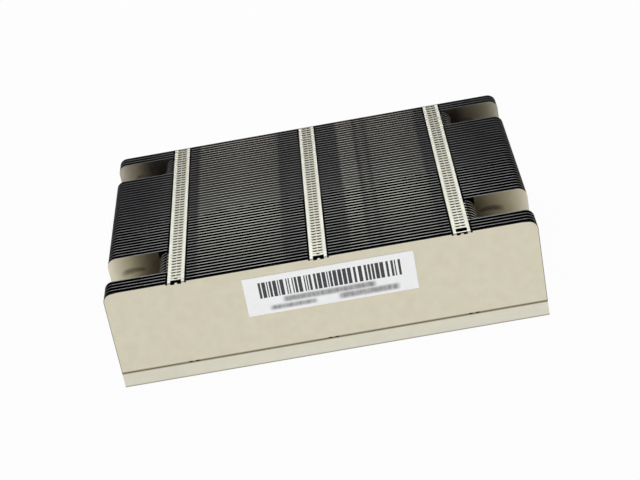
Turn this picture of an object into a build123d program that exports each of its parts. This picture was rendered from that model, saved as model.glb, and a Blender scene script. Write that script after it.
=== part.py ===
from build123d import *
from math import cos, radians, sin
import os

# Passive processor heatsink for a flat server: a stack of thin folded fins that
# hook into one another, soldered by their feet to a flat base plate.
# Frame: the origin is the middle of the base's underside, +Z is up, X runs along
# the fins, and the labelled end plate of the stack faces -Y. All sizes in mm.

# Base plate and its four screw holes
base_thickness = 4.0
screw_spacing_x = 94.0
screw_spacing_y = 56.0
screw_shift_y = 1.1
screw_hole_diameter = 4.5
screw_to_end = 7.0

# Fin stack
fin_count = 53
fin_pitch = 1.5
fin_height = 23.0
sheet = 0.3
fin_corner_radius = 2.4
corner_facets = 3
joint_gap = 0.05

# Room that each screw's driver needs beside the screw's axis
driver_room_x = 6.5
driver_room_y = 4.7

# Hooks along the top of each fin, in three rows, the outer two set in from the shorter fins' ends
hook_inset = 5.0
hook_width = 4.26
rail_width = 0.88
window_depth = 1.1
tongue_clearance = 0.2

# Paper label on the front end plate
label_width = 42.6
label_height = 10.6
label_thickness = 0.1
label_offset_x = 1.7
label_below_top = 2.4

# Sizes that follow
base_length = screw_spacing_x + 2 * screw_to_end
base_depth = (fin_count - 1) * fin_pitch + sheet
front = -base_depth / 2
top = base_thickness + fin_height
fold_length = fin_pitch - joint_gap
window_width = hook_width - 2 * rail_width
tongue_width = window_width - 2 * tongue_clearance
tongue_reach = joint_gap + window_depth - tongue_clearance
short_fin_length = screw_spacing_x - 2 * driver_room_x
screw_rows = [screw_shift_y - screw_spacing_y / 2, screw_shift_y + screw_spacing_y / 2]
hook_spacing = short_fin_length / 2 - hook_inset
hook_columns = [-hook_spacing, 0, hook_spacing]


def beside_screw(y):
    """Whether a sheet whose front face is at y would stand in a driver's way."""
    return any(row - driver_room_y < y + sheet and y < row + driver_room_y for row in screw_rows)


def sheet_outline(length):
    """Corners of an upright sheet, from one foot over both rounded top corners to the other foot."""
    side = length / 2
    turns = [radians(90 * step / corner_facets) for step in range(corner_facets + 1)]
    across = [side - fin_corner_radius * (1 - cos(turn)) for turn in turns]
    up = [top - fin_corner_radius * (1 - sin(turn)) for turn in turns]
    right = [(side, base_thickness), *zip(across, up)]
    left = [(-x, z) for x, z in reversed(right)]
    return right + left


def build_fin(y, length, hooked, tongued):
    """One fin, folded from a strip of sheet whose front face stands at y."""
    flaps = [(x, y) for x in hook_columns]
    tongues = [(x, y + fold_length) for x in hook_columns]
    with BuildPart() as fin:
        # Upright sheet
        with BuildSketch(Plane.XZ.offset(-y)):
            with BuildLine():
                Polyline(*sheet_outline(length), close=True)
            make_face()
        extrude(amount=-sheet)
        if hooked:
            # Foot folded back along the base
            with BuildSketch(Plane.XY.offset(base_thickness)):
                with Locations((0, y)):
                    Rectangle(length, fold_length, align=(Align.CENTER, Align.MIN))
            extrude(amount=sheet)
            # Flaps folded back along the top, each ending in a tongue
            with BuildSketch(Plane.XY.offset(top)):
                with Locations(*flaps):
                    Rectangle(hook_width, fold_length, align=(Align.CENTER, Align.MIN))
                if tongued:
                    with Locations(*tongues):
                        Rectangle(tongue_width, tongue_reach, align=(Align.CENTER, Align.MIN))
            extrude(amount=-sheet)
            # Windows across the folds, which take the tongues of the fin in front
            with BuildSketch(Plane.XY.offset(top)):
                with Locations(*flaps):
                    Rectangle(window_width, window_depth, align=(Align.CENTER, Align.MIN))
            extrude(amount=-sheet, mode=Mode.SUBTRACT)
    return fin


os.makedirs("parts", exist_ok=True)

# Base plate with its screw holes
with BuildPart() as base_plate:
    with BuildSketch():
        Rectangle(base_length, base_depth)
        with Locations((0, screw_shift_y)):
            with GridLocations(screw_spacing_x, screw_spacing_y, 2, 2):
                Circle(screw_hole_diameter / 2, mode=Mode.SUBTRACT)
    extrude(amount=base_thickness)
base_plate.part.label = "base_plate"
export_step(base_plate.part, "parts/base_plate.step")

# Fins, from the labelled end plate to the plain sheet that closes the back.
# Those beside a screw are shorter, which leaves a pocket over the screw.
for index in range(fin_count):
    y = front + index * fin_pitch
    length = short_fin_length if beside_screw(y) else base_length
    behind = fin_count - 1 - index
    fin = build_fin(y, length, hooked=behind > 0, tongued=behind > 1)
    name = f"fin_{index + 1:02d}"
    fin.part.label = name
    export_step(fin.part, f"parts/{name}.step")

# Label stuck on the front end plate
with BuildPart() as label:
    with BuildSketch(Plane.XZ.offset(-front)):
        with Locations((label_offset_x, top - label_below_top)):
            Rectangle(label_width, label_height, align=(Align.CENTER, Align.MAX))
    extrude(amount=label_thickness)
label.part.label = "label"
export_step(label.part, "parts/label.step")
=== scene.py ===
"""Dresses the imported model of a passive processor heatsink: folded fins, base plate, label and stage."""

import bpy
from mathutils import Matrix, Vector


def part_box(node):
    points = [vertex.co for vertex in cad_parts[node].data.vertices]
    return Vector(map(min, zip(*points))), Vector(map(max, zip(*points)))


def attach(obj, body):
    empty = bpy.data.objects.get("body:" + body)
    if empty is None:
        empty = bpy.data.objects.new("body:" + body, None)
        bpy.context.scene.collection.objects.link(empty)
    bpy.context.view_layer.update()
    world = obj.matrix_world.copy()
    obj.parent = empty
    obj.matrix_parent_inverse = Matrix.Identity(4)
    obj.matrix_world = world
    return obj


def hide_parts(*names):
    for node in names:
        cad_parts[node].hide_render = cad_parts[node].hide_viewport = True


bl_info = {
    "name": "Passive Processor Heatsink",
    "version": (1, 0, 0),
    "blender": (4, 5, 0),
    "location": "3D View > Sidebar > Heatsink",
    "description": "Folds the fins, mills the base plate, prints the label and sets the stage",
    "category": "Object",
}

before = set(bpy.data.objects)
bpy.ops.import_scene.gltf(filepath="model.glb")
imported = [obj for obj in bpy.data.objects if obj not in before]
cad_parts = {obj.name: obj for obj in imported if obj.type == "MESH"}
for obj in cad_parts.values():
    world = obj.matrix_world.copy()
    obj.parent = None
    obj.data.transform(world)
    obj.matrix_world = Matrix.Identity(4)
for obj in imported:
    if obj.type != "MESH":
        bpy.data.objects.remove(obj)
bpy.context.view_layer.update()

import math
import random

import bmesh
import bpy
from bpy.props import FloatProperty, FloatVectorProperty, IntProperty, PointerProperty
from mathutils import Matrix, Vector

MM = 0.001
NEAR = 0.01 * MM
FINS = sorted(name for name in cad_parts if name.startswith("fin_"))
BASE_LOW, BASE_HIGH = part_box("base_plate")
LABEL_LOW, LABEL_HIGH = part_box("label")
STACK_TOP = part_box(FINS[0])[1].z
# Material slots of a fin
PLATE, GAP, EDGE, HOOK, POCKET = range(5)
# Steps in a rounded corner and in a fold, and the share of a tooth's width that is left at its tip
CORNER_STEPS = 8
FOLD_STEPS = 3
TOOTH_TIP = 0.5
# Steps round a screw hole and in the base's broken edges, and the angle, in degrees, that makes an edge
HOLE_STEPS = 48
BEVEL_STEPS = 2
BEVEL_ANGLE = 40
# Angles, in degrees, up to which neighbouring faces are shaded as one
FIN_SMOOTH = 35
BASE_SMOOTH = 20
# How much of its normal points along an axis, at least, when a face leans, faces or lies flat that way
LEANING = 0.3
FACING = 0.5
FLAT = 0.9
# Range in which most of a noise pattern lies
NOISE = {"From Min": 0.3, "From Max": 0.7}
# Height above the base up to which the flux line on a fin is dark, and at which it ends
FLUX_DARK = 0.15 * MM
FLUX_END = 0.55 * MM
# Painted shade in the pockets, darker the deeper it lies: how far it is shifted to the left, where it is
# darkest and ends, and how far on each side of the middle it turns from the front pockets' tone to that of
# the rear ones
SHADE_SHIFT = 1.5 * MM
POCKET_SHADE_DARK = 40.5 * MM
POCKET_SHADE_END = 48.5 * MM
POCKET_TONE_TURN = 5.0 * MM
# Painted reflection in each pocket, a dark crescent: how far its middle lies from the middle plane and below
# the top, how much it bends, in metres for each square metre of distance, and where it is dark and ends, off
# its middle line and along it
CRESCENT_X = 45.5 * MM
CRESCENT_DROP = 4.0 * MM
CRESCENT_BEND = 50.0
CRESCENT_THICK = (0.1 * MM, 1.3 * MM)
CRESCENT_LONG = (2.0 * MM, 4.2 * MM)
# How bright a fin is along its length: place in millimetres, then 0 for dark to 1 for bright.
# It is bright in two bands between the hook rows; two thin dark lines cross the right-hand one.
BRIGHT_BANDS = (
    (-46.0, 0.05), (-38.0, 0.2), (-30.7, 0.2), (-30.1, 0.8), (-20.0, 0.95), (-13.0, 0.9), (-8.9, 0.75),
    (-8.1, 0.25), (7.9, 0.25), (8.6, 1.0), (12.5, 1.0), (13.1, 0.3), (14.6, 0.8), (16.0, 0.4), (17.0, 0.8),
    (22.0, 0.95), (29.8, 0.65), (30.6, 0.2), (38.0, 0.2), (46.0, 0.05))
# Where the bands are whole; towards the front, painted shade darkens them
BANDS_WHOLE = -12.0 * MM
# Lighter ends of the shorter fins: how far out they reach, and how far below the top they start and are
# fully lighter
LIGHTER_TO = 41.5 * MM
LIGHTER_FROM = 0.02 * MM
LIGHTER_FULL = 0.4 * MM
# Where the film of dust towards the rear starts and is full, and how rough it is
DUST_FROM = -20.0 * MM
DUST_FULL = 24.0 * MM
DUST_ROUGHNESS = 0.6
# Row of bars on the label, in millimetres: left and right of its middle, and below its top edge
BARS_LEFT, BARS_RIGHT = -17.65, 17.2
BARS_UPPER, BARS_LOWER = 1.65, 6.05
# Smears of rubbed print on the label, in millimetres: left, right, and from its top edge upper and lower
SMEARS = ((-10.2, 12.6, 6.5, 8.0), (-13.8, -2.4, 8.5, 9.7), (3.4, 18.2, 8.2, 9.8))
# Floor: its width, how far it lies below the base, how much of it shows as plain white, and how far
# inside the base's outline its shadow starts
FLOOR_WIDTH = 6.0
FLOOR_GAP = 0.05 * MM
FLOOR_WHITE = 0.96
FLOOR_SHADOW = 1.0 * MM
# Strength of the light from the ceiling and, against the other walls, from the wall behind the object,
# and how high, in degrees, the walls end and the ceiling starts
CEILING = 0.3
BACK_WALL = 0.5
WALLS_TO = 10
CEILING_FROM = 45
# Lamps: name, place, width and height in metres, power in watts, tint, and whether metal mirrors it.
# The front light is a fill light that leaves no glare on the hooks; the back light glints on them.
LAMPS = (
    ("front_light", (-0.25, -1.2, 0.35), 0.9, 0.9, 6.2, (1.0, 0.99, 0.97), False),
    ("back_light", (-0.016, 0.300, 0.270), 0.30, 0.08, 0.31, (0.90, 0.98, 1.10), True))
# Camera, from the vanishing lines of the photographed edges: its lens and sensor in millimetres, its
# place, and its own axes
LENS = 99.12
SENSOR = 36
CAMERA_PLACE = (17.680 * MM, -417.163 * MM, 230.406 * MM)
CAMERA_RIGHT = (0.984428230, -0.046259334, -0.169591080)
CAMERA_DOWN = (-0.171518610, -0.464075699, -0.869031134)
CAMERA_FORWARD = (-0.038502297, 0.884586807, -0.464783555)


def linear(code):
    """Linear red, green and blue of an sRGB hex colour."""
    parts = [int(code[i:i + 2], 16) / 255 for i in (0, 2, 4)]
    return tuple(p / 12.92 if p <= 0.04045 else ((p + 0.055) / 1.055) ** 2.4 for p in parts)


def length(name, description, millimetres):
    """A property for one length, given in millimetres."""
    return FloatProperty(
        name=name, description=description, default=millimetres * MM, min=0, precision=5, unit="LENGTH")


def colour(name, description, code):
    """A property for one colour, given as sRGB hex."""
    return FloatVectorProperty(
        name=name, description=description, default=linear(code), size=3, min=0, max=1, subtype="COLOR")


class HeatsinkSizes(bpy.types.PropertyGroup):
    """Sizes of the folded sheet, its hooks, the base's edges and the label's print."""

    sheet: length("Sheet", "Thickness of the fin sheet", 0.3)
    corner_radius: length("Corner radius", "Rounding of the longer fins' upper corners", 2.4)
    pocket_radius: length("Pocket corner radius", "Rounding of the shorter fins' upper corners", 2.9)
    fold_radius: length("Fold radius", "Outer radius of the folds along the top", 0.32)
    foot_radius: length("Foot radius", "Outer radius of the fold along the foot", 0.12)
    fold_length: length("Fold length", "How far a foot or flap reaches back", 1.45)
    hook_spacing: length("Hook spacing", "From the middle row of hooks to an outer row", 35.5)
    hook_width: length("Hook width", "Width of one flap", 4.2)
    window_width: length("Window width", "Width of the window in a flap", 2.86)
    window_depth: length("Window depth", "How far a window reaches back from the fold", 1.1)
    window_drop: length("Window drop", "How far a window runs down the upright sheet", 0.5)
    end_window_depth: length("End window depth", "How far the end plate's windows reach back", 1.4)
    tooth_width: length("Tooth width", "Width of the tooth in the end plate's windows, at its root", 0.8)
    tooth_drop: length("Tooth drop", "How far the tooth's tip lies below the top", 0.2)
    notch_height: length("Notch height", "Height of the notches under the end plate", 0.3)
    bar_reach: length("Bar reach", "How far back the bar across a barred end window reaches", 0.85)
    bar_width: length("Bar width", "Width of that bar", 0.45)
    tongue_width: length("Tongue width", "Width of the tongue at the end of a flap", 2.74)
    tongue_reach: length("Tongue reach", "How far a tongue passes the end of its flap", 0.95)
    slot_offset: length("Slot offset", "From a tongue's middle to the middle of each slot in it", 0.64)
    slot_width: length("Slot width", "Width of the slots that fork a tongue", 1.04)
    slot_length: length("Slot length", "Length of the slots that fork a tongue", 0.42)
    nick_width: length("Nick width", "Width of the relief cut on each side of a flap", 0.5)
    nick_depth: length("Nick depth", "Depth of the relief cut below the top edge", 0.75)
    end_nick_depth: length("End nick depth", "Depth of the relief cuts in the end plate", 0.35)
    burr: length("Burr", "Rolled edge round the two end plates", 0.14)
    base_bevel: length("Base bevel", "Broken edge of the base plate and its holes", 0.1)
    hole_diameter: length("Hole diameter", "Diameter of the four screw holes", 4.5)
    hole_spacing_x: length("Hole spacing along", "Between screw holes along the fins", 94.0)
    hole_spacing_y: length("Hole spacing across", "Between screw holes across the fins", 56.0)
    hole_shift: length("Hole shift", "How far the holes sit behind the base's middle", 1.1)
    bar_module: length("Bar module", "Width of the label's thinnest bar", 0.3)
    bar_seed: IntProperty(name="Bar seed", description="Start of the made-up row of bars", default=7)


class HeatsinkColours(bpy.types.PropertyGroup):
    """Colours of the metal, the label and the floor."""

    plate: colour("Fin sheet", "Plated sheet of the end plates and hooks", "D9D3BE")
    stain: colour("Flux stain", "Sheet where the solder's flux has stained it", "928A74")
    hook: colour("Hooks", "Plated sheet pressed into the hooks", "CBC4AE")
    pocket: colour("Pocket", "Plated sheet that looks into a pocket", "E4DECA")
    # Painted shade: the dark colour of the pockets' walls, stronger deeper inside them
    pocket_shade: colour("Pocket shade", "Sheet darkened by painted shade deeper in the pockets", "625A58")
    # The sheet between the fins is given dark colours: painted shade.
    gap: colour("Gap", "Sheet between the fins, bright band", "66635C")
    gap_shade_dark: colour("Stained gap", "Sheet between the fins, darker band, in painted shade", "252527")
    edge: colour("Cut edge", "Sheared top edge of a fin, bright band", "E0DACA")
    edge_dark: colour("Darker edge", "Sheared top edge of a fin, darker band", "827F7C")
    dust: colour("Dust", "Film of dust on a bright band", "98918A")
    dust_dark: colour("Darker dust", "Film of dust on a darker band", "49484A")
    base: colour("Base plate", "Milled and plated base", "E0DCCC")
    paper: colour("Label paper", "Coated paper of the label", "F9FAFC")
    ink: colour("Label ink", "Black of the label's bars", "29292B")
    smear: colour("Label smear", "Grey of the label's rubbed print", "8C8C8E")
    floor: colour("Floor", "Pale floor under the heatsink", "F4F4F4")


# Materials


def add(tree, kind, inputs=None, **settings):
    """Adds a node with its settings, and gives its inputs values or links."""
    node = tree.nodes.new(kind)
    for name, value in settings.items():
        setattr(node, name, value)
    for name, value in (inputs or {}).items():
        if isinstance(value, bpy.types.NodeSocket):
            tree.links.new(value, node.inputs[name])
        else:
            node.inputs[name].default_value = value
    return node


def new_material(name):
    """An empty node material, its node tree and its output node."""
    material = bpy.data.materials.new(name)
    material.use_nodes = True
    tree = material.node_tree
    tree.nodes.clear()
    return material, tree, add(tree, "ShaderNodeOutputMaterial")


def plated_sheet(name, bright, stain):
    """Rolled aluminium sheet, nickel plated so that it takes solder: satin and faintly warm, with very
    fine rolling lines along the fins that blur what it mirrors, cloudy from handling, and a matt brown
    line of flux where its foot was soldered."""
    material, tree, output = new_material(name)
    place = add(tree, "ShaderNodeTexCoord").outputs["Object"]
    # Rolling lines lie a few hundredths of a millimetre apart; they are drawn 0.4 mm apart to show.
    stretched = add(tree, "ShaderNodeMapping", {"Vector": place, "Scale": (40, 2500, 2500)})
    lines = add(tree, "ShaderNodeTexNoise", {"Vector": stretched.outputs[0], "Scale": 1.0, "Detail": 3.0})
    # Handling leaves cloudy patches about 3 mm across.
    clouds = add(
        tree, "ShaderNodeTexNoise", {"Vector": place, "Scale": 330.0, "Detail": 4.0, "Roughness": 0.6})
    # The flux line is about 0.3 mm high, and matt.
    height = add(tree, "ShaderNodeSeparateXYZ", {0: place}).outputs["Z"]
    flux = add(
        tree, "ShaderNodeMapRange",
        {"Value": height, "From Min": BASE_HIGH.z + FLUX_DARK, "From Max": BASE_HIGH.z + FLUX_END,
         "To Min": 1.0, "To Max": 0.0}, interpolation_type="SMOOTHSTEP")
    satin = add(
        tree, "ShaderNodeMapRange",
        {"Value": clouds.outputs["Fac"], **NOISE, "To Min": 0.30, "To Max": 0.36})
    roughness = add(
        tree, "ShaderNodeMath", {0: flux.outputs[0], 1: 0.25, 2: satin.outputs[0]}, operation="MULTIPLY_ADD")
    handled = add(
        tree, "ShaderNodeMapRange",
        {"Value": clouds.outputs["Fac"], "From Min": 0.35, "From Max": 0.65, "To Min": 0.0, "To Max": 0.09})
    tone = add(tree, "ShaderNodeMath", {0: handled.outputs[0], 1: flux.outputs[0]}, operation="MAXIMUM")
    shade = add(
        tree, "ShaderNodeMix", {0: tone.outputs[0], 6: (*bright, 1), 7: (*stain, 1)}, data_type="RGBA")
    bump = add(
        tree, "ShaderNodeBump", {"Height": lines.outputs["Fac"], "Strength": 0.03, "Distance": 0.02 * MM})
    shader = add(
        tree, "ShaderNodeBsdfPrincipled",
        {"Base Color": shade.outputs[2], "Metallic": 1.0, "Roughness": roughness.outputs[0],
         "Normal": bump.outputs[0]})
    tree.links.new(shader.outputs[0], output.inputs["Surface"])
    return material


def pocket_sheet(name, bright, stain):
    """The plated sheet where it looks into a corner pocket: painted shade darkens it more the deeper
    it lies, and a painted reflection lies on it as a dark crescent."""
    material, tree, output = new_material(name)
    place = add(tree, "ShaderNodeTexCoord").outputs["Object"]
    axes = add(tree, "ShaderNodeSeparateXYZ", {0: place})
    # The painted shade is shifted a little to the left.
    shifted_x = add(tree, "ShaderNodeMath", {0: axes.outputs["X"], 1: SHADE_SHIFT}).outputs[0]
    out = add(tree, "ShaderNodeMath", {0: shifted_x}, operation="ABSOLUTE").outputs[0]
    # The painted shade and the roughness are uneven, in patches about 2 mm across.
    clouds = add(tree, "ShaderNodeTexNoise", {"Vector": place, "Scale": 500.0, "Detail": 3.0})
    # Painted shade, darker the deeper into the pocket
    inwards = add(
        tree, "ShaderNodeMapRange",
        {"Value": out, "From Min": POCKET_SHADE_DARK, "From Max": POCKET_SHADE_END, "To Min": 0.72, "To Max": 0.0},
        interpolation_type="SMOOTHSTEP")
    # The rear pockets are darker than the front ones.
    rear = add(
        tree, "ShaderNodeMapRange",
        {"Value": axes.outputs["Y"], "From Min": -POCKET_TONE_TURN, "From Max": POCKET_TONE_TURN,
         "To Min": 0.0, "To Max": 0.5})
    deeper_shade = add(tree, "ShaderNodeMath", {0: inwards.outputs[0], 1: rear.outputs[0]})
    # The painted reflection, a crescent, is about 6 mm long and 1 mm high.
    aside = add(tree, "ShaderNodeMath", {0: out, 1: CRESCENT_X}, operation="SUBTRACT").outputs[0]
    sag = add(tree, "ShaderNodeMath", {0: aside, 1: aside}, operation="MULTIPLY").outputs[0]
    rise = add(
        tree, "ShaderNodeMath", {0: sag, 1: CRESCENT_BEND, 2: axes.outputs["Z"]},
        operation="MULTIPLY_ADD").outputs[0]
    off = add(
        tree, "ShaderNodeMath", {0: rise, 1: STACK_TOP - CRESCENT_DROP}, operation="SUBTRACT").outputs[0]
    apart = add(tree, "ShaderNodeMath", {0: off}, operation="ABSOLUTE").outputs[0]
    thick = add(
        tree, "ShaderNodeMapRange",
        {"Value": apart, "From Min": CRESCENT_THICK[0], "From Max": CRESCENT_THICK[1],
         "To Min": 0.85, "To Max": 0.0},
        interpolation_type="SMOOTHSTEP")
    wide = add(
        tree, "ShaderNodeMapRange",
        {"Value": sag, "From Min": CRESCENT_LONG[0] ** 2, "From Max": CRESCENT_LONG[1] ** 2,
         "To Min": 1.0, "To Max": 0.0})
    reflected_crescent = add(
        tree, "ShaderNodeMath", {0: thick.outputs[0], 1: wide.outputs[0]}, operation="MULTIPLY")
    uneven = add(
        tree, "ShaderNodeMapRange",
        {"Value": clouds.outputs["Fac"], **NOISE, "To Min": 0.8, "To Max": 1.0})
    deep = add(
        tree, "ShaderNodeMath", {0: deeper_shade.outputs[0], 1: reflected_crescent.outputs[0]}, operation="MAXIMUM",
        use_clamp=True)
    tone = add(tree, "ShaderNodeMath", {0: deep.outputs[0], 1: uneven.outputs[0]}, operation="MULTIPLY")
    shade = add(
        tree, "ShaderNodeMix", {0: tone.outputs[0], 6: (*bright, 1), 7: (*stain, 1)}, data_type="RGBA")
    roughness = add(
        tree, "ShaderNodeMapRange",
        {"Value": clouds.outputs["Fac"], **NOISE, "To Min": 0.3, "To Max": 0.38})
    shader = add(
        tree, "ShaderNodeBsdfPrincipled",
        {"Base Color": shade.outputs[2], "Metallic": 1.0, "Roughness": roughness.outputs[0]})
    tree.links.new(shader.outputs[0], output.inputs["Surface"])
    return material


def banded_sheet(name, bright, stain, dust, left, share, rubbed, smooth, rough):
    """The same sheet inside the stack, given dark colours as painted shade, or its cut edges: darker along
    the fin except in two bright bands. Painted shade darkens the bands towards the front, leaving a part of
    them there, and a film of dust covers a share of the sheet at the rear."""
    material, tree, output = new_material(name)
    place = add(tree, "ShaderNodeTexCoord").outputs["Object"]
    axes = add(tree, "ShaderNodeSeparateXYZ", {0: place})
    along = add(
        tree, "ShaderNodeMapRange",
        {"Value": axes.outputs["X"], "From Min": BASE_LOW.x, "From Max": BASE_HIGH.x})
    ramp = add(tree, "ShaderNodeValToRGB", {0: along.outputs[0]})
    stops = ramp.color_ramp.elements
    while len(stops) < len(BRIGHT_BANDS):
        stops.new(1.0)
    for stop, (x, level) in zip(stops, BRIGHT_BANDS):
        stop.position = (x * MM - BASE_LOW.x) / (BASE_HIGH.x - BASE_LOW.x)
        stop.color = (level, level, level, 1)
    # The bands are blotchy, in patches about 3 mm across.
    blotches = add(tree, "ShaderNodeTexNoise", {"Vector": place, "Scale": 330.0, "Detail": 3.0})
    uneven = add(
        tree, "ShaderNodeMapRange",
        {"Value": blotches.outputs["Fac"], **NOISE, "To Min": 0.9, "To Max": 1.0})
    # Painted shade darkens the bands towards the front, leaving the share given by left
    front_shade = add(
        tree, "ShaderNodeMapRange",
        {"Value": axes.outputs["Y"], "From Min": BASE_LOW.y, "From Max": BANDS_WHOLE,
         "To Min": left, "To Max": 1.0})
    level = add(tree, "ShaderNodeMath", {0: ramp.outputs[0], 1: uneven.outputs[0]}, operation="MULTIPLY")
    level = add(tree, "ShaderNodeMath", {0: level.outputs[0], 1: front_shade.outputs[0]}, operation="MULTIPLY")
    # The shorter fins' rounded ends are lighter, from just below the top down.
    aside = add(tree, "ShaderNodeMath", {0: axes.outputs["X"]}, operation="ABSOLUTE")
    inner = add(tree, "ShaderNodeMath", {0: aside.outputs[0], 1: LIGHTER_TO}, operation="LESS_THAN")
    corner = add(
        tree, "ShaderNodeMapRange",
        {"Value": axes.outputs["Z"], "From Min": STACK_TOP - LIGHTER_FROM,
         "From Max": STACK_TOP - LIGHTER_FULL, "To Min": 0.0, "To Max": rubbed})
    lighter = add(tree, "ShaderNodeMath", {0: inner.outputs[0], 1: corner.outputs[0]}, operation="MULTIPLY")
    level = add(tree, "ShaderNodeMath", {0: level.outputs[0], 1: lighter.outputs[0]}, operation="MAXIMUM")
    film = add(
        tree, "ShaderNodeMapRange",
        {"Value": axes.outputs["Y"], "From Min": DUST_FROM, "From Max": DUST_FULL,
         "To Min": 0.0, "To Max": share}, interpolation_type="SMOOTHERSTEP").outputs[0]
    shades = [
        add(tree, "ShaderNodeMix", {0: film, 6: (*clean, 1), 7: (*dusty, 1)}, data_type="RGBA").outputs[2]
        for clean, dusty in zip((stain, bright), dust)]
    shade = add(tree, "ShaderNodeMix", {0: level.outputs[0], 6: shades[0], 7: shades[1]}, data_type="RGBA")
    worn = add(
        tree, "ShaderNodeMapRange",
        {"Value": blotches.outputs["Fac"], **NOISE, "To Min": smooth, "To Max": rough})
    roughness = add(tree, "ShaderNodeMix", {0: film, 2: worn.outputs[0], 3: DUST_ROUGHNESS})
    shader = add(
        tree, "ShaderNodeBsdfPrincipled",
        {"Base Color": shade.outputs[2], "Metallic": 1.0, "Roughness": roughness.outputs[0]})
    tree.links.new(shader.outputs[0], output.inputs["Surface"])
    return material


def milled_plate(name, bright, dull):
    """Aluminium plate, milled and nickel plated: paler than the sheet, with faint cutter marks along it,
    stained by flux along its upper edge, and darkened along its lower one by painted shade where it meets
    the floor."""
    material, tree, output = new_material(name)
    place = add(tree, "ShaderNodeTexCoord").outputs["Object"]
    # Cutter marks are about 0.1 mm apart; they are drawn 0.5 mm apart to show.
    stretched = add(tree, "ShaderNodeMapping", {"Vector": place, "Scale": (60, 2000, 2000)})
    marks = add(tree, "ShaderNodeTexNoise", {"Vector": stretched.outputs[0], "Scale": 1.0, "Detail": 4.0})
    # Handling leaves cloudy patches about 3 mm across.
    clouds = add(tree, "ShaderNodeTexNoise", {"Vector": place, "Scale": 330.0, "Detail": 4.0})
    milled = add(
        tree, "ShaderNodeMapRange",
        {"Value": marks.outputs["Fac"], **NOISE, "To Min": 0.07, "To Max": 0.0})
    handled = add(
        tree, "ShaderNodeMapRange",
        {"Value": clouds.outputs["Fac"], **NOISE, "To Min": 0.0, "To Max": 0.08})
    height = add(tree, "ShaderNodeSeparateXYZ", {0: place}).outputs["Z"]
    tone = add(tree, "ShaderNodeMath", {0: milled.outputs[0], 1: handled.outputs[0]})
    # Dark bands, a flux stain along the upper edge and painted shade along the lower one: where each ends
    # and where it is darkest, and how dark
    for clean, edge, stained in (
        (BASE_HIGH.z - 0.45 * MM, BASE_HIGH.z - 0.15 * MM, 0.9),
        # Lower band: painted shade where the base meets the floor
        (BASE_LOW.z + 0.45 * MM, BASE_LOW.z + 0.1 * MM, 0.55),
    ):
        band = add(
            tree, "ShaderNodeMapRange",
            {"Value": height, "From Min": clean, "From Max": edge, "To Min": 0.0, "To Max": stained},
            interpolation_type="SMOOTHSTEP")
        tone = add(tree, "ShaderNodeMath", {0: tone.outputs[0], 1: band.outputs[0]}, operation="MAXIMUM")
    shade = add(
        tree, "ShaderNodeMix", {0: tone.outputs[0], 6: (*bright, 1), 7: (*dull, 1)}, data_type="RGBA")
    roughness = add(
        tree, "ShaderNodeMapRange",
        {"Value": marks.outputs["Fac"], **NOISE, "To Min": 0.38, "To Max": 0.46})
    bump = add(
        tree, "ShaderNodeBump", {"Height": marks.outputs["Fac"], "Strength": 0.04, "Distance": 0.03 * MM})
    shader = add(
        tree, "ShaderNodeBsdfPrincipled",
        {"Base Color": shade.outputs[2], "Metallic": 1.0, "Roughness": roughness.outputs[0],
         "Normal": bump.outputs[0]})
    tree.links.new(shader.outputs[0], output.inputs["Surface"])
    return material


def coated_paper(name, white, smear):
    """Coated label paper: a cool white with a slight sheen, a faint fibre mottle, and grey smears where
    small print has rubbed off."""
    material, tree, output = new_material(name)
    place = add(tree, "ShaderNodeTexCoord").outputs["Object"]
    axes = add(tree, "ShaderNodeSeparateXYZ", {0: place})
    # Fibre flocks show as a mottle about 1 mm across.
    mottle = add(tree, "ShaderNodeTexNoise", {"Vector": place, "Scale": 1000.0, "Detail": 2.0})
    flecked = add(
        tree, "ShaderNodeMapRange",
        {"Value": mottle.outputs["Fac"], **NOISE, "To Min": 0.04, "To Max": 0.0})
    # Strokes of the rubbed print lie about 0.8 mm apart.
    squeezed = add(tree, "ShaderNodeMapping", {"Vector": place, "Scale": (1250, 400, 400)})
    strokes = add(tree, "ShaderNodeTexNoise", {"Vector": squeezed.outputs[0], "Scale": 1.0, "Detail": 1.0})
    uneven = add(
        tree, "ShaderNodeMapRange",
        {"Value": strokes.outputs["Fac"], **NOISE, "To Min": 0.7, "To Max": 1.0})
    tone = flecked.outputs[0]
    for left, right, upper, lower in SMEARS:
        mask = uneven.outputs[0]
        for axis, low, high, soft in (
            ("X", left * MM, right * MM, 0.8 * MM),
            ("Z", LABEL_HIGH.z - lower * MM, LABEL_HIGH.z - upper * MM, 0.5 * MM),
        ):
            aside = add(
                tree, "ShaderNodeMath", {0: axes.outputs[axis], 1: (low + high) / 2}, operation="SUBTRACT")
            apart = add(tree, "ShaderNodeMath", {0: aside.outputs[0]}, operation="ABSOLUTE")
            half = (high - low) / 2
            inside = add(
                tree, "ShaderNodeMapRange",
                {"Value": apart.outputs[0], "From Min": half - soft, "From Max": half + soft,
                 "To Min": 1.0, "To Max": 0.0}, interpolation_type="SMOOTHSTEP")
            mask = add(
                tree, "ShaderNodeMath", {0: mask, 1: inside.outputs[0]}, operation="MULTIPLY").outputs[0]
        tone = add(tree, "ShaderNodeMath", {0: tone, 1: mask}, operation="MAXIMUM").outputs[0]
    shade = add(tree, "ShaderNodeMix", {0: tone, 6: (*white, 1), 7: (*smear, 1)}, data_type="RGBA")
    shader = add(
        tree, "ShaderNodeBsdfPrincipled", {"Base Color": shade.outputs[2], "Roughness": 0.45})
    tree.links.new(shader.outputs[0], output.inputs["Surface"])
    return material


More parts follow.
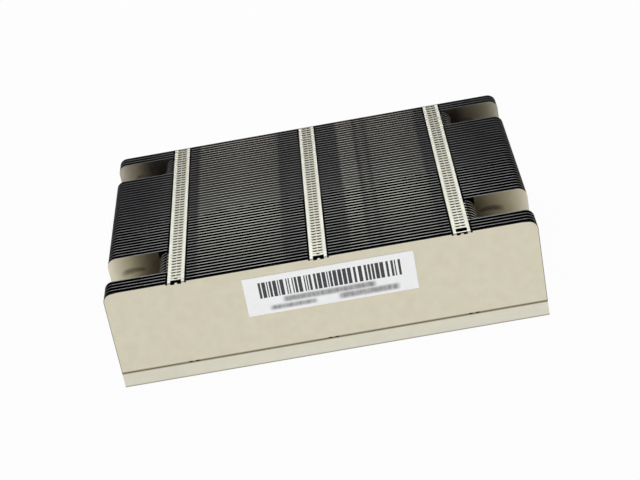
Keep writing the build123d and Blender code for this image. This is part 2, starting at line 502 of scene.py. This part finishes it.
def thermal_print(name, black):
    """Black of a thermal printer: matt, and slightly uneven where the ribbon missed the paper."""
    material, tree, output = new_material(name)
    place = add(tree, "ShaderNodeTexCoord").outputs["Object"]
    # Missed dots are about 0.25 mm across.
    specks = add(tree, "ShaderNodeTexNoise", {"Vector": place, "Scale": 4000.0, "Detail": 1.0})
    tone = add(
        tree, "ShaderNodeMapRange",
        {"Value": specks.outputs["Fac"], "From Min": 0.4, "From Max": 0.75, "To Min": 0.0, "To Max": 0.25})
    shade = add(
        tree, "ShaderNodeMix",
        {0: tone.outputs[0], 6: (*black, 1), 7: (*linear("9A9A9C"), 1)}, data_type="RGBA")
    shader = add(
        tree, "ShaderNodeBsdfPrincipled", {"Base Color": shade.outputs[2], "Roughness": 0.6})
    tree.links.new(shader.outputs[0], output.inputs["Surface"])
    return material


def pale_floor(name, pale):
    """Seamless studio paper: white to the camera, and it keeps a soft shadow."""
    material, tree, output = new_material(name)
    place = add(tree, "ShaderNodeTexCoord").outputs["Object"]
    # Paper grain, drawn at 2 mm so that it survives the distance.
    grain = add(tree, "ShaderNodeTexNoise", {"Vector": place, "Scale": 500.0, "Detail": 2.0})
    tone = add(
        tree, "ShaderNodeMapRange",
        {"Value": grain.outputs["Fac"], **NOISE, "To Min": 0.02, "To Max": 0.0})
    shade = add(
        tree, "ShaderNodeMix",
        {0: tone.outputs[0], 6: (*pale, 1), 7: (*linear("D0D0D0"), 1)}, data_type="RGBA")
    paper = add(tree, "ShaderNodeBsdfDiffuse", {"Color": shade.outputs[2]})
    # A thin painted contact shadow, taken from ambient occlusion, where they touch keeps the object on the
    # floor.
    contact = add(tree, "ShaderNodeAmbientOcclusion", {"Distance": 0.25 * MM}, samples=16)
    white = add(tree, "ShaderNodeEmission", {"Color": contact.outputs["Color"], "Strength": 1.0})
    path = add(tree, "ShaderNodeLightPath")
    seen = add(
        tree, "ShaderNodeMath",
        {0: path.outputs["Is Camera Ray"], 1: path.outputs["Is Glossy Ray"]}, operation="MAXIMUM")
    share = add(tree, "ShaderNodeMath", {0: seen.outputs[0], 1: FLOOR_WHITE}, operation="MULTIPLY")
    # Under the base, where it shows only through the screw holes, the floor lies in shadow.
    axes = add(tree, "ShaderNodeSeparateXYZ", {0: place})
    beyond = []
    for axis, edge in (("X", BASE_HIGH.x), ("Y", BASE_HIGH.y)):
        aside = add(tree, "ShaderNodeMath", {0: axes.outputs[axis]}, operation="ABSOLUTE")
        beyond.append(add(
            tree, "ShaderNodeMath", {0: aside.outputs[0], 1: edge - FLOOR_SHADOW},
            operation="GREATER_THAN"))
    outside = add(
        tree, "ShaderNodeMath", {0: beyond[0].outputs[0], 1: beyond[1].outputs[0]}, operation="MAXIMUM")
    share = add(tree, "ShaderNodeMath", {0: share.outputs[0], 1: outside.outputs[0]}, operation="MULTIPLY")
    both = add(tree, "ShaderNodeMixShader", {0: share.outputs[0], 1: paper.outputs[0], 2: white.outputs[0]})
    tree.links.new(both.outputs[0], output.inputs["Surface"])
    return material


def soft_light(name):
    """White walls under a dimmer ceiling, dimmer behind the object: strength 1 where the camera sees it."""
    world = bpy.data.worlds.new(name)
    world.use_nodes = True
    tree = world.node_tree
    tree.nodes.clear()
    way = add(tree, "ShaderNodeTexCoord").outputs["Generated"]
    axes = add(tree, "ShaderNodeSeparateXYZ", {0: way})
    walls = add(
        tree, "ShaderNodeMapRange",
        {"Value": axes.outputs["Z"], "From Min": math.sin(math.radians(WALLS_TO)),
         "From Max": math.sin(math.radians(CEILING_FROM)), "To Min": 1.0, "To Max": CEILING},
        interpolation_type="SMOOTHSTEP")
    behind = add(
        tree, "ShaderNodeMapRange",
        {"Value": axes.outputs["Y"], "From Min": 0.2, "From Max": 0.8, "To Min": 1.0, "To Max": BACK_WALL},
        interpolation_type="SMOOTHSTEP")
    lit = add(tree, "ShaderNodeMath", {0: walls.outputs[0], 1: behind.outputs[0]}, operation="MULTIPLY")
    path = add(tree, "ShaderNodeLightPath")
    strength = add(
        tree, "ShaderNodeMath", {0: path.outputs["Is Camera Ray"], 1: lit.outputs[0]}, operation="MAXIMUM")
    light = add(tree, "ShaderNodeBackground", {"Color": (1, 1, 1, 1), "Strength": strength.outputs[0]})
    output = add(tree, "ShaderNodeOutputWorld")
    tree.links.new(light.outputs[0], output.inputs["Surface"])
    return world


# Modelling


def deselect():
    """Deselects everything, before a primitive is added or another piece is worked on."""
    if bpy.context.mode != "OBJECT":
        bpy.ops.object.mode_set(mode="OBJECT")
    bpy.ops.object.select_all(action="DESELECT")


def settle(piece, name):
    """Names a new primitive and puts its place, turn and scale into its mesh."""
    bpy.ops.object.transform_apply(location=True, rotation=True, scale=True)
    piece.name = name
    piece.data.name = name
    return piece


def pick(piece, kind, test):
    """Selects, in edit mode, the vertices, edges or faces that pass a test of their middle and corners."""
    bpy.ops.mesh.select_mode(type=kind)
    bpy.ops.mesh.select_all(action="DESELECT")
    mesh = bmesh.from_edit_mesh(piece.data)
    for item in {"VERT": mesh.verts, "EDGE": mesh.edges, "FACE": mesh.faces}[kind]:
        points = [item.co] if kind == "VERT" else [vert.co for vert in item.verts]
        if test(sum(points, Vector()) / len(points), points):
            item.select_set(True)
    bmesh.update_edit_mesh(piece.data)


def paint(piece, slot, test):
    """Gives the faces that pass a test of their normal and middle the material in a slot."""
    for face in piece.data.polygons:
        if test(face.normal, face.center):
            face.material_index = slot


def cut(axis, places):
    """Cuts the mesh in edit mode across an axis at each place."""
    normal = [1.0 if axis == each else 0.0 for each in "xyz"]
    for place in places:
        bpy.ops.mesh.select_all(action="SELECT")
        bpy.ops.mesh.bisect(plane_co=[place * part for part in normal], plane_no=normal)


def apply_modifier(piece, kind, **settings):
    """Adds a modifier with its settings and applies it."""
    modifier = piece.modifiers.new(kind.title(), kind)
    for name, value in settings.items():
        setattr(modifier, name, value)
    bpy.ops.object.modifier_apply(modifier=modifier.name)


def fold_fin(name, long, front, finishes, shown, hooked, tongues, end_plate):
    """One fin: an upright sheet with rounded upper corners, a foot folded back along its bottom, and
    flaps folded back along its top, each with a window and, where there is one, a forked tongue.
    What is shown of its front and back lies beyond a distance from the middle, or is None."""
    size = bpy.context.scene.heatsink_sizes
    bottom = BASE_HIGH.z
    columns = (-size.hook_spacing, 0.0, size.hook_spacing)
    half = size.hook_width / 2
    window = size.window_width / 2
    full = long > BASE_HIGH.x - BASE_LOW.x - NEAR
    radius = size.corner_radius if full else size.pocket_radius
    outer = long / 2 - radius - NEAR

    def across(x):
        """Distance from the nearest hook row."""
        return min(abs(x - column) for column in columns)

    deselect()
    bpy.ops.mesh.primitive_plane_add(
        size=1, location=(0, front, (bottom + STACK_TOP) / 2), rotation=(math.pi / 2, 0, 0))
    fin = bpy.context.object
    bpy.ops.transform.resize(value=(long, 1, STACK_TOP - bottom))
    settle(fin, name)
    bpy.ops.object.mode_set(mode="EDIT")
    pick(fin, "VERT", lambda middle, points: middle.z > STACK_TOP - NEAR)
    bpy.ops.mesh.bevel(offset=radius, segments=CORNER_STEPS, affect="VERTICES")
    for beyond in shown:
        if beyond:
            cut("x", [-beyond, beyond])
    if hooked:
        tooth = size.tooth_width / 2
        tongue = size.tongue_width / 2
        slot_in = size.slot_offset - size.slot_width / 2
        slot_out = size.slot_offset + size.slot_width / 2
        slot_from = size.fold_length + size.tongue_reach - size.slot_length
        bar_from = size.bar_reach - size.bar_width
        nick_depth = size.end_nick_depth if end_plate else size.nick_depth
        marks = [slot_in, slot_out, tongue, window, half, half + size.nick_width]
        rows = [size.window_depth, size.fold_length]
        if end_plate:
            marks.append(tooth)
            rows = [bar_from, size.bar_reach, size.end_window_depth, size.fold_length]
        for column in columns:
            cut("x", [column + side * mark for mark in marks for side in (-1, 1)])
        cut("z", [STACK_TOP - nick_depth, STACK_TOP - size.window_drop, bottom + size.notch_height])

        def tongue_at(x):
            """Whether the nearest hook has a tongue."""
            return tongues[min(range(3), key=lambda i: abs(x - columns[i]))]

        # Flaps
        pick(fin, "EDGE", lambda middle, points: all(p.z > STACK_TOP - NEAR for p in points)
             and across(middle.x) < half)
        for low, high in zip([0.0] + rows, rows):
            bpy.ops.mesh.extrude_region_move(TRANSFORM_OT_translate={"value": (0, high - low, 0)})
        # Tongues
        end = front + size.fold_length
        pick(fin, "EDGE", lambda middle, points: all(abs(p.y - end) < NEAR for p in points)
             and across(middle.x) < tongue and tongue_at(middle.x))
        for row in (size.tongue_reach - size.slot_length, size.slot_length):
            bpy.ops.mesh.extrude_region_move(TRANSFORM_OT_translate={"value": (0, row, 0)})
        # Foot
        pick(fin, "EDGE", lambda middle, points: all(p.z < bottom + NEAR for p in points))
        for row in (size.notch_height, size.fold_length - size.notch_height):
            bpy.ops.mesh.extrude_region_move(TRANSFORM_OT_translate={"value": (0, row, 0)})

        def is_open(middle, points):
            """Whether a face is cut away: a nick, a window, a slot, or a notch under the end plate."""
            x = across(middle.x)
            back = middle.y - front
            down = STACK_TOP - middle.z
            if half < x < half + size.nick_width:
                return down < nick_depth
            if x > window:
                return False
            if end_plate and middle.z < bottom + size.notch_height:
                return x > tooth
            if down > size.window_drop:
                return False
            if back > slot_from:
                return x < tooth if end_plate else slot_in < x < slot_out
            if not end_plate:
                return back < size.window_depth
            if x < tooth and back < NEAR:
                return False
            if tongue_at(middle.x):
                return back < size.end_window_depth
            return not bar_from < back < size.bar_reach

        pick(fin, "FACE", is_open)
        bpy.ops.mesh.delete(type="FACE")
        if end_plate:
            # Teeth, narrower at their tips
            for column in columns:
                pick(fin, "VERT", lambda middle, points: abs(middle.x - column) < tooth + NEAR
                     and abs(middle.y - front) < NEAR and middle.z > STACK_TOP - NEAR)
                bpy.ops.transform.resize(value=(TOOTH_TIP, 1, 1), center_override=(column, front, STACK_TOP))
                bpy.ops.transform.translate(value=(0, 0, -size.tooth_drop))
        # Folds
        pick(fin, "EDGE", lambda middle, points: across(middle.x) < half and all(
            abs(p.y - front) < NEAR and p.z > STACK_TOP - NEAR for p in points))
        bpy.ops.mesh.bevel(offset=size.fold_radius, segments=FOLD_STEPS, affect="EDGES")
        pick(fin, "EDGE", lambda middle, points: all(
            abs(p.y - front) < NEAR and p.z < bottom + NEAR for p in points))
        bpy.ops.mesh.bevel(offset=size.foot_radius, segments=FOLD_STEPS, affect="EDGES")
    bpy.ops.object.mode_set(mode="OBJECT")
    for finish in finishes:
        fin.data.materials.append(finish)
    apply_modifier(fin, "SOLIDIFY", thickness=size.sheet, offset=-1, use_even_offset=True)
    # Sheet inside the stack, in painted shade, then its cut edges, the hooks, and what is shown in front and
    # behind; the end plates' cut edges keep the dark gap colours
    paint(fin, GAP, lambda normal, middle: True)
    if 0.0 not in shown:
        paint(fin, EDGE, lambda normal, middle: abs(normal.y) < FACING
              and (abs(middle.x) > outer or middle.z > STACK_TOP - NEAR and normal.z > FACING))
    if hooked:
        paint(fin, PLATE, lambda normal, middle: normal.z > LEANING and across(middle.x) < half
              and middle.z > STACK_TOP - size.window_drop + NEAR)
        paint(fin, HOOK, lambda normal, middle: normal.z > FLAT and across(middle.x) < window
              and middle.z > STACK_TOP - NEAR)
    for side, beyond in zip((-1, 1), shown):
        if beyond is None:
            continue
        face = front if side < 0 else front + size.sheet
        paint(fin, POCKET if beyond else PLATE, lambda normal, middle: normal.y * side > FACING
              and abs(middle.x) >= beyond and abs(middle.y - face) < size.sheet / 2)
        if beyond == 0:
            # The cut edge of an end plate is rolled and dark.
            bpy.ops.object.mode_set(mode="EDIT")
            pick(fin, "EDGE", lambda middle, points: all(
                abs(p.y - face) < NEAR and abs(p.x) > outer for p in points))
            bpy.ops.mesh.bevel(offset=size.burr, segments=1, affect="EDGES", material=GAP)
            bpy.ops.object.mode_set(mode="OBJECT")
    bpy.ops.object.shade_smooth_by_angle(angle=math.radians(FIN_SMOOTH))
    return fin


def copy_fin(pattern, name, back):
    """A copy of a folded fin with its own mesh, moved back by a distance."""
    deselect()
    pattern.select_set(True)
    bpy.context.view_layer.objects.active = pattern
    bpy.ops.object.duplicate(linked=False)
    fin = bpy.context.object
    bpy.ops.transform.translate(value=(0, back, 0))
    return settle(fin, name)


# Operators


class HEATSINK_OT_base_plate(bpy.types.Operator):
    """Mills the base plate, with broken edges and four screw holes"""

    bl_idname = "heatsink.base_plate"
    bl_label = "Base plate"

    def execute(self, context):
        size = context.scene.heatsink_sizes
        tints = context.scene.heatsink_colours
        deselect()
        extent = BASE_HIGH - BASE_LOW
        bpy.ops.mesh.primitive_cube_add(size=1, location=(BASE_LOW + BASE_HIGH) / 2)
        base = bpy.context.object
        bpy.ops.transform.resize(value=extent)
        settle(base, "milled_base")
        for x in (-size.hole_spacing_x / 2, size.hole_spacing_x / 2):
            for y in (size.hole_shift - size.hole_spacing_y / 2, size.hole_shift + size.hole_spacing_y / 2):
                deselect()
                bpy.ops.mesh.primitive_cylinder_add(
                    vertices=HOLE_STEPS, radius=size.hole_diameter / 2, depth=extent.z * 2,
                    location=(x, y, extent.z / 2))
                cutter = bpy.context.object
                deselect()
                base.select_set(True)
                context.view_layer.objects.active = base
                apply_modifier(base, "BOOLEAN", operation="DIFFERENCE", object=cutter, solver="EXACT")
                bpy.data.objects.remove(cutter)
        apply_modifier(
            base, "BEVEL", width=size.base_bevel, segments=BEVEL_STEPS, limit_method="ANGLE",
            angle_limit=math.radians(BEVEL_ANGLE))
        bpy.ops.object.shade_smooth_by_angle(angle=math.radians(BASE_SMOOTH))
        base.data.materials.clear()
        base.data.materials.append(milled_plate("milled_plated_aluminium", tints.base, tints.stain))
        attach(base, "root")
        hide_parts("base_plate")
        return {"FINISHED"}


class HEATSINK_OT_fins(bpy.types.Operator):
    """Folds each kind of fin once, and copies it along the stack"""

    bl_idname = "heatsink.fins"
    bl_label = "Fins"

    def execute(self, context):
        tints = context.scene.heatsink_colours
        dust = (tints.dust_dark, tints.dust)
        finishes = (
            plated_sheet("nickel_plated_sheet", tints.plate, tints.stain),
            # The sheet inside the stack, in dark colours: painted shade between the fins.
            banded_sheet(
                "shaded_gap_sheet", tints.gap, tints.gap_shade_dark, dust,
                left=0.0, share=0.8, rubbed=0.0, smooth=0.14, rough=0.22),
            banded_sheet(
                "sheared_sheet_edge", tints.edge, tints.edge_dark, dust,
                left=0.35, share=0.6, rubbed=1.0, smooth=0.35, rough=0.5),
            plated_sheet("pressed_plated_sheet", tints.hook, tints.stain),
            # Pocket walls: painted shade deeper in, and a painted reflection
            pocket_sheet("pocket_shaded_sheet", tints.pocket, tints.pocket_shade))
        patterns = {}
        boxes = [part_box(node) for node in FINS]
        widths = [high.x - low.x for low, high in boxes]
        for index, node in enumerate(FINS):
            low = boxes[index][0]
            wide = widths[index]
            behind = len(FINS) - 1 - index
            # End plates show all of a face, sheets beside a pocket what stands out past the shorter one.
            in_front = widths[index - 1] / 2 if index else 0.0
            in_back = widths[index + 1] / 2 if behind else 0.0
            shown = tuple(beyond if beyond < wide / 2 - NEAR else None for beyond in (in_front, in_back))
            kind = (round(wide / NEAR), behind > 0, behind > 1, index == 0, shown)
            name = f"folded_{node}"
            if kind in patterns:
                pattern, place = patterns[kind]
                fin = copy_fin(pattern, name, low.y - place)
            else:
                # The end plate's right-hand tongue is missing.
                tongues = (behind > 1, behind > 1, behind > 1 and index > 0)
                fin = fold_fin(name, wide, low.y, finishes, shown, behind > 0, tongues, index == 0)
                patterns[kind] = (fin, low.y)
            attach(fin, "root")
            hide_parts(node)
        return {"FINISHED"}


class HEATSINK_OT_label(bpy.types.Operator):
    """Cuts the paper label and prints a made-up row of bars on it"""

    bl_idname = "heatsink.label"
    bl_label = "Label"

    def execute(self, context):
        size = context.scene.heatsink_sizes
        tints = context.scene.heatsink_colours
        deselect()
        middle = (LABEL_LOW + LABEL_HIGH) / 2
        extent = LABEL_HIGH - LABEL_LOW
        bpy.ops.mesh.primitive_plane_add(
            size=1, location=(middle.x, LABEL_LOW.y, middle.z), rotation=(math.pi / 2, 0, 0))
        label = bpy.context.object
        bpy.ops.transform.resize(value=(extent.x, 1, extent.z))
        settle(label, "paper_label")
        label.data.materials.append(coated_paper("coated_label_paper", tints.paper, tints.smear))
        label.data.materials.append(thermal_print("thermal_print", tints.ink))
        # Bars and gaps of one to three modules, drawn by a seeded dice
        dice = random.Random(size.bar_seed)
        bars = []
        x = middle.x + BARS_LEFT * MM
        while x < middle.x + BARS_RIGHT * MM:
            wide = size.bar_module * dice.choice((1, 2, 2, 3, 3))
            bars.append((x, x + wide))
            x += wide + size.bar_module * dice.choice((1, 1, 1, 2))
        low = LABEL_HIGH.z - BARS_LOWER * MM
        high = LABEL_HIGH.z - BARS_UPPER * MM
        bpy.ops.object.mode_set(mode="EDIT")
        cut("x", [edge for bar in bars for edge in bar])
        cut("z", [low, high])
        pick(label, "FACE", lambda place, points: low < place.z < high
             and any(a < place.x < b for a, b in bars))
        label.active_material_index = 1
        bpy.ops.object.material_slot_assign()
        bpy.ops.object.mode_set(mode="OBJECT")
        apply_modifier(label, "SOLIDIFY", thickness=extent.y, offset=-1)
        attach(label, "root")
        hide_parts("label")
        return {"FINISHED"}


class HEATSINK_OT_stage(bpy.types.Operator):
    """Lays the pale floor, sets soft light all round and places the camera"""

    bl_idname = "heatsink.stage"
    bl_label = "Stage"

    def execute(self, context):
        scene = context.scene
        tints = scene.heatsink_colours
        deselect()
        bpy.ops.mesh.primitive_plane_add(size=FLOOR_WIDTH, location=(0, 0, BASE_LOW.z - FLOOR_GAP))
        floor = settle(context.object, "floor")
        floor.data.materials.append(pale_floor("pale_floor", tints.floor))
        scene.world = soft_light("soft_light")
        for name, place, wide, high, power, tint, mirrored in LAMPS:
            lamp = bpy.data.lights.new(name, "AREA")
            lamp.shape = "RECTANGLE"
            lamp.size = wide
            lamp.size_y = high
            lamp.energy = power
            lamp.color = tint
            holder = bpy.data.objects.new(name, lamp)
            holder.location = place
            holder.rotation_euler = (-Vector(place)).to_track_quat("-Z", "Y").to_euler()
            holder.visible_camera = False
            holder.visible_glossy = mirrored
            scene.collection.objects.link(holder)
        lens = bpy.data.cameras.new("camera")
        lens.sensor_width = SENSOR
        lens.lens = LENS
        lens.clip_start = 0.01
        holder = bpy.data.objects.new("camera", lens)
        axes = (Vector(CAMERA_RIGHT), -Vector(CAMERA_DOWN), -Vector(CAMERA_FORWARD))
        turn = Matrix(axes).transposed().to_4x4()
        holder.matrix_world = Matrix.Translation(CAMERA_PLACE) @ turn
        scene.collection.objects.link(holder)
        scene.camera = holder
        scene.view_settings.view_transform = "Standard"
        return {"FINISHED"}


class HEATSINK_PT_panel(bpy.types.Panel):
    """Lists the heatsink's pieces, sizes and colours"""

    bl_label = "Heatsink"
    bl_idname = "HEATSINK_PT_panel"
    bl_space_type = "VIEW_3D"
    bl_region_type = "UI"
    bl_category = "Heatsink"

    def draw(self, context):
        column = self.layout.column()
        for operator in OPERATORS:
            column.operator(operator.bl_idname)
        for group in (context.scene.heatsink_sizes, context.scene.heatsink_colours):
            for name in group.bl_rna.properties.keys():
                if name not in ("rna_type", "name"):
                    column.prop(group, name)


OPERATORS = (HEATSINK_OT_base_plate, HEATSINK_OT_fins, HEATSINK_OT_label, HEATSINK_OT_stage)
CLASSES = (HeatsinkSizes, HeatsinkColours, *OPERATORS, HEATSINK_PT_panel)


def register():
    """Registers the classes, and gives the scene its sizes and colours."""
    for each in CLASSES:
        bpy.utils.register_class(each)
    bpy.types.Scene.heatsink_sizes = PointerProperty(type=HeatsinkSizes)
    bpy.types.Scene.heatsink_colours = PointerProperty(type=HeatsinkColours)


def unregister():
    """Takes back what register added."""
    del bpy.types.Scene.heatsink_colours
    del bpy.types.Scene.heatsink_sizes
    for each in reversed(CLASSES):
        bpy.utils.unregister_class(each)


def main():
    """Builds the pieces and the stage."""
    register()
    bpy.ops.heatsink.base_plate()
    bpy.ops.heatsink.fins()
    bpy.ops.heatsink.label()
    bpy.ops.heatsink.stage()


if __name__ == "__main__":
    main()
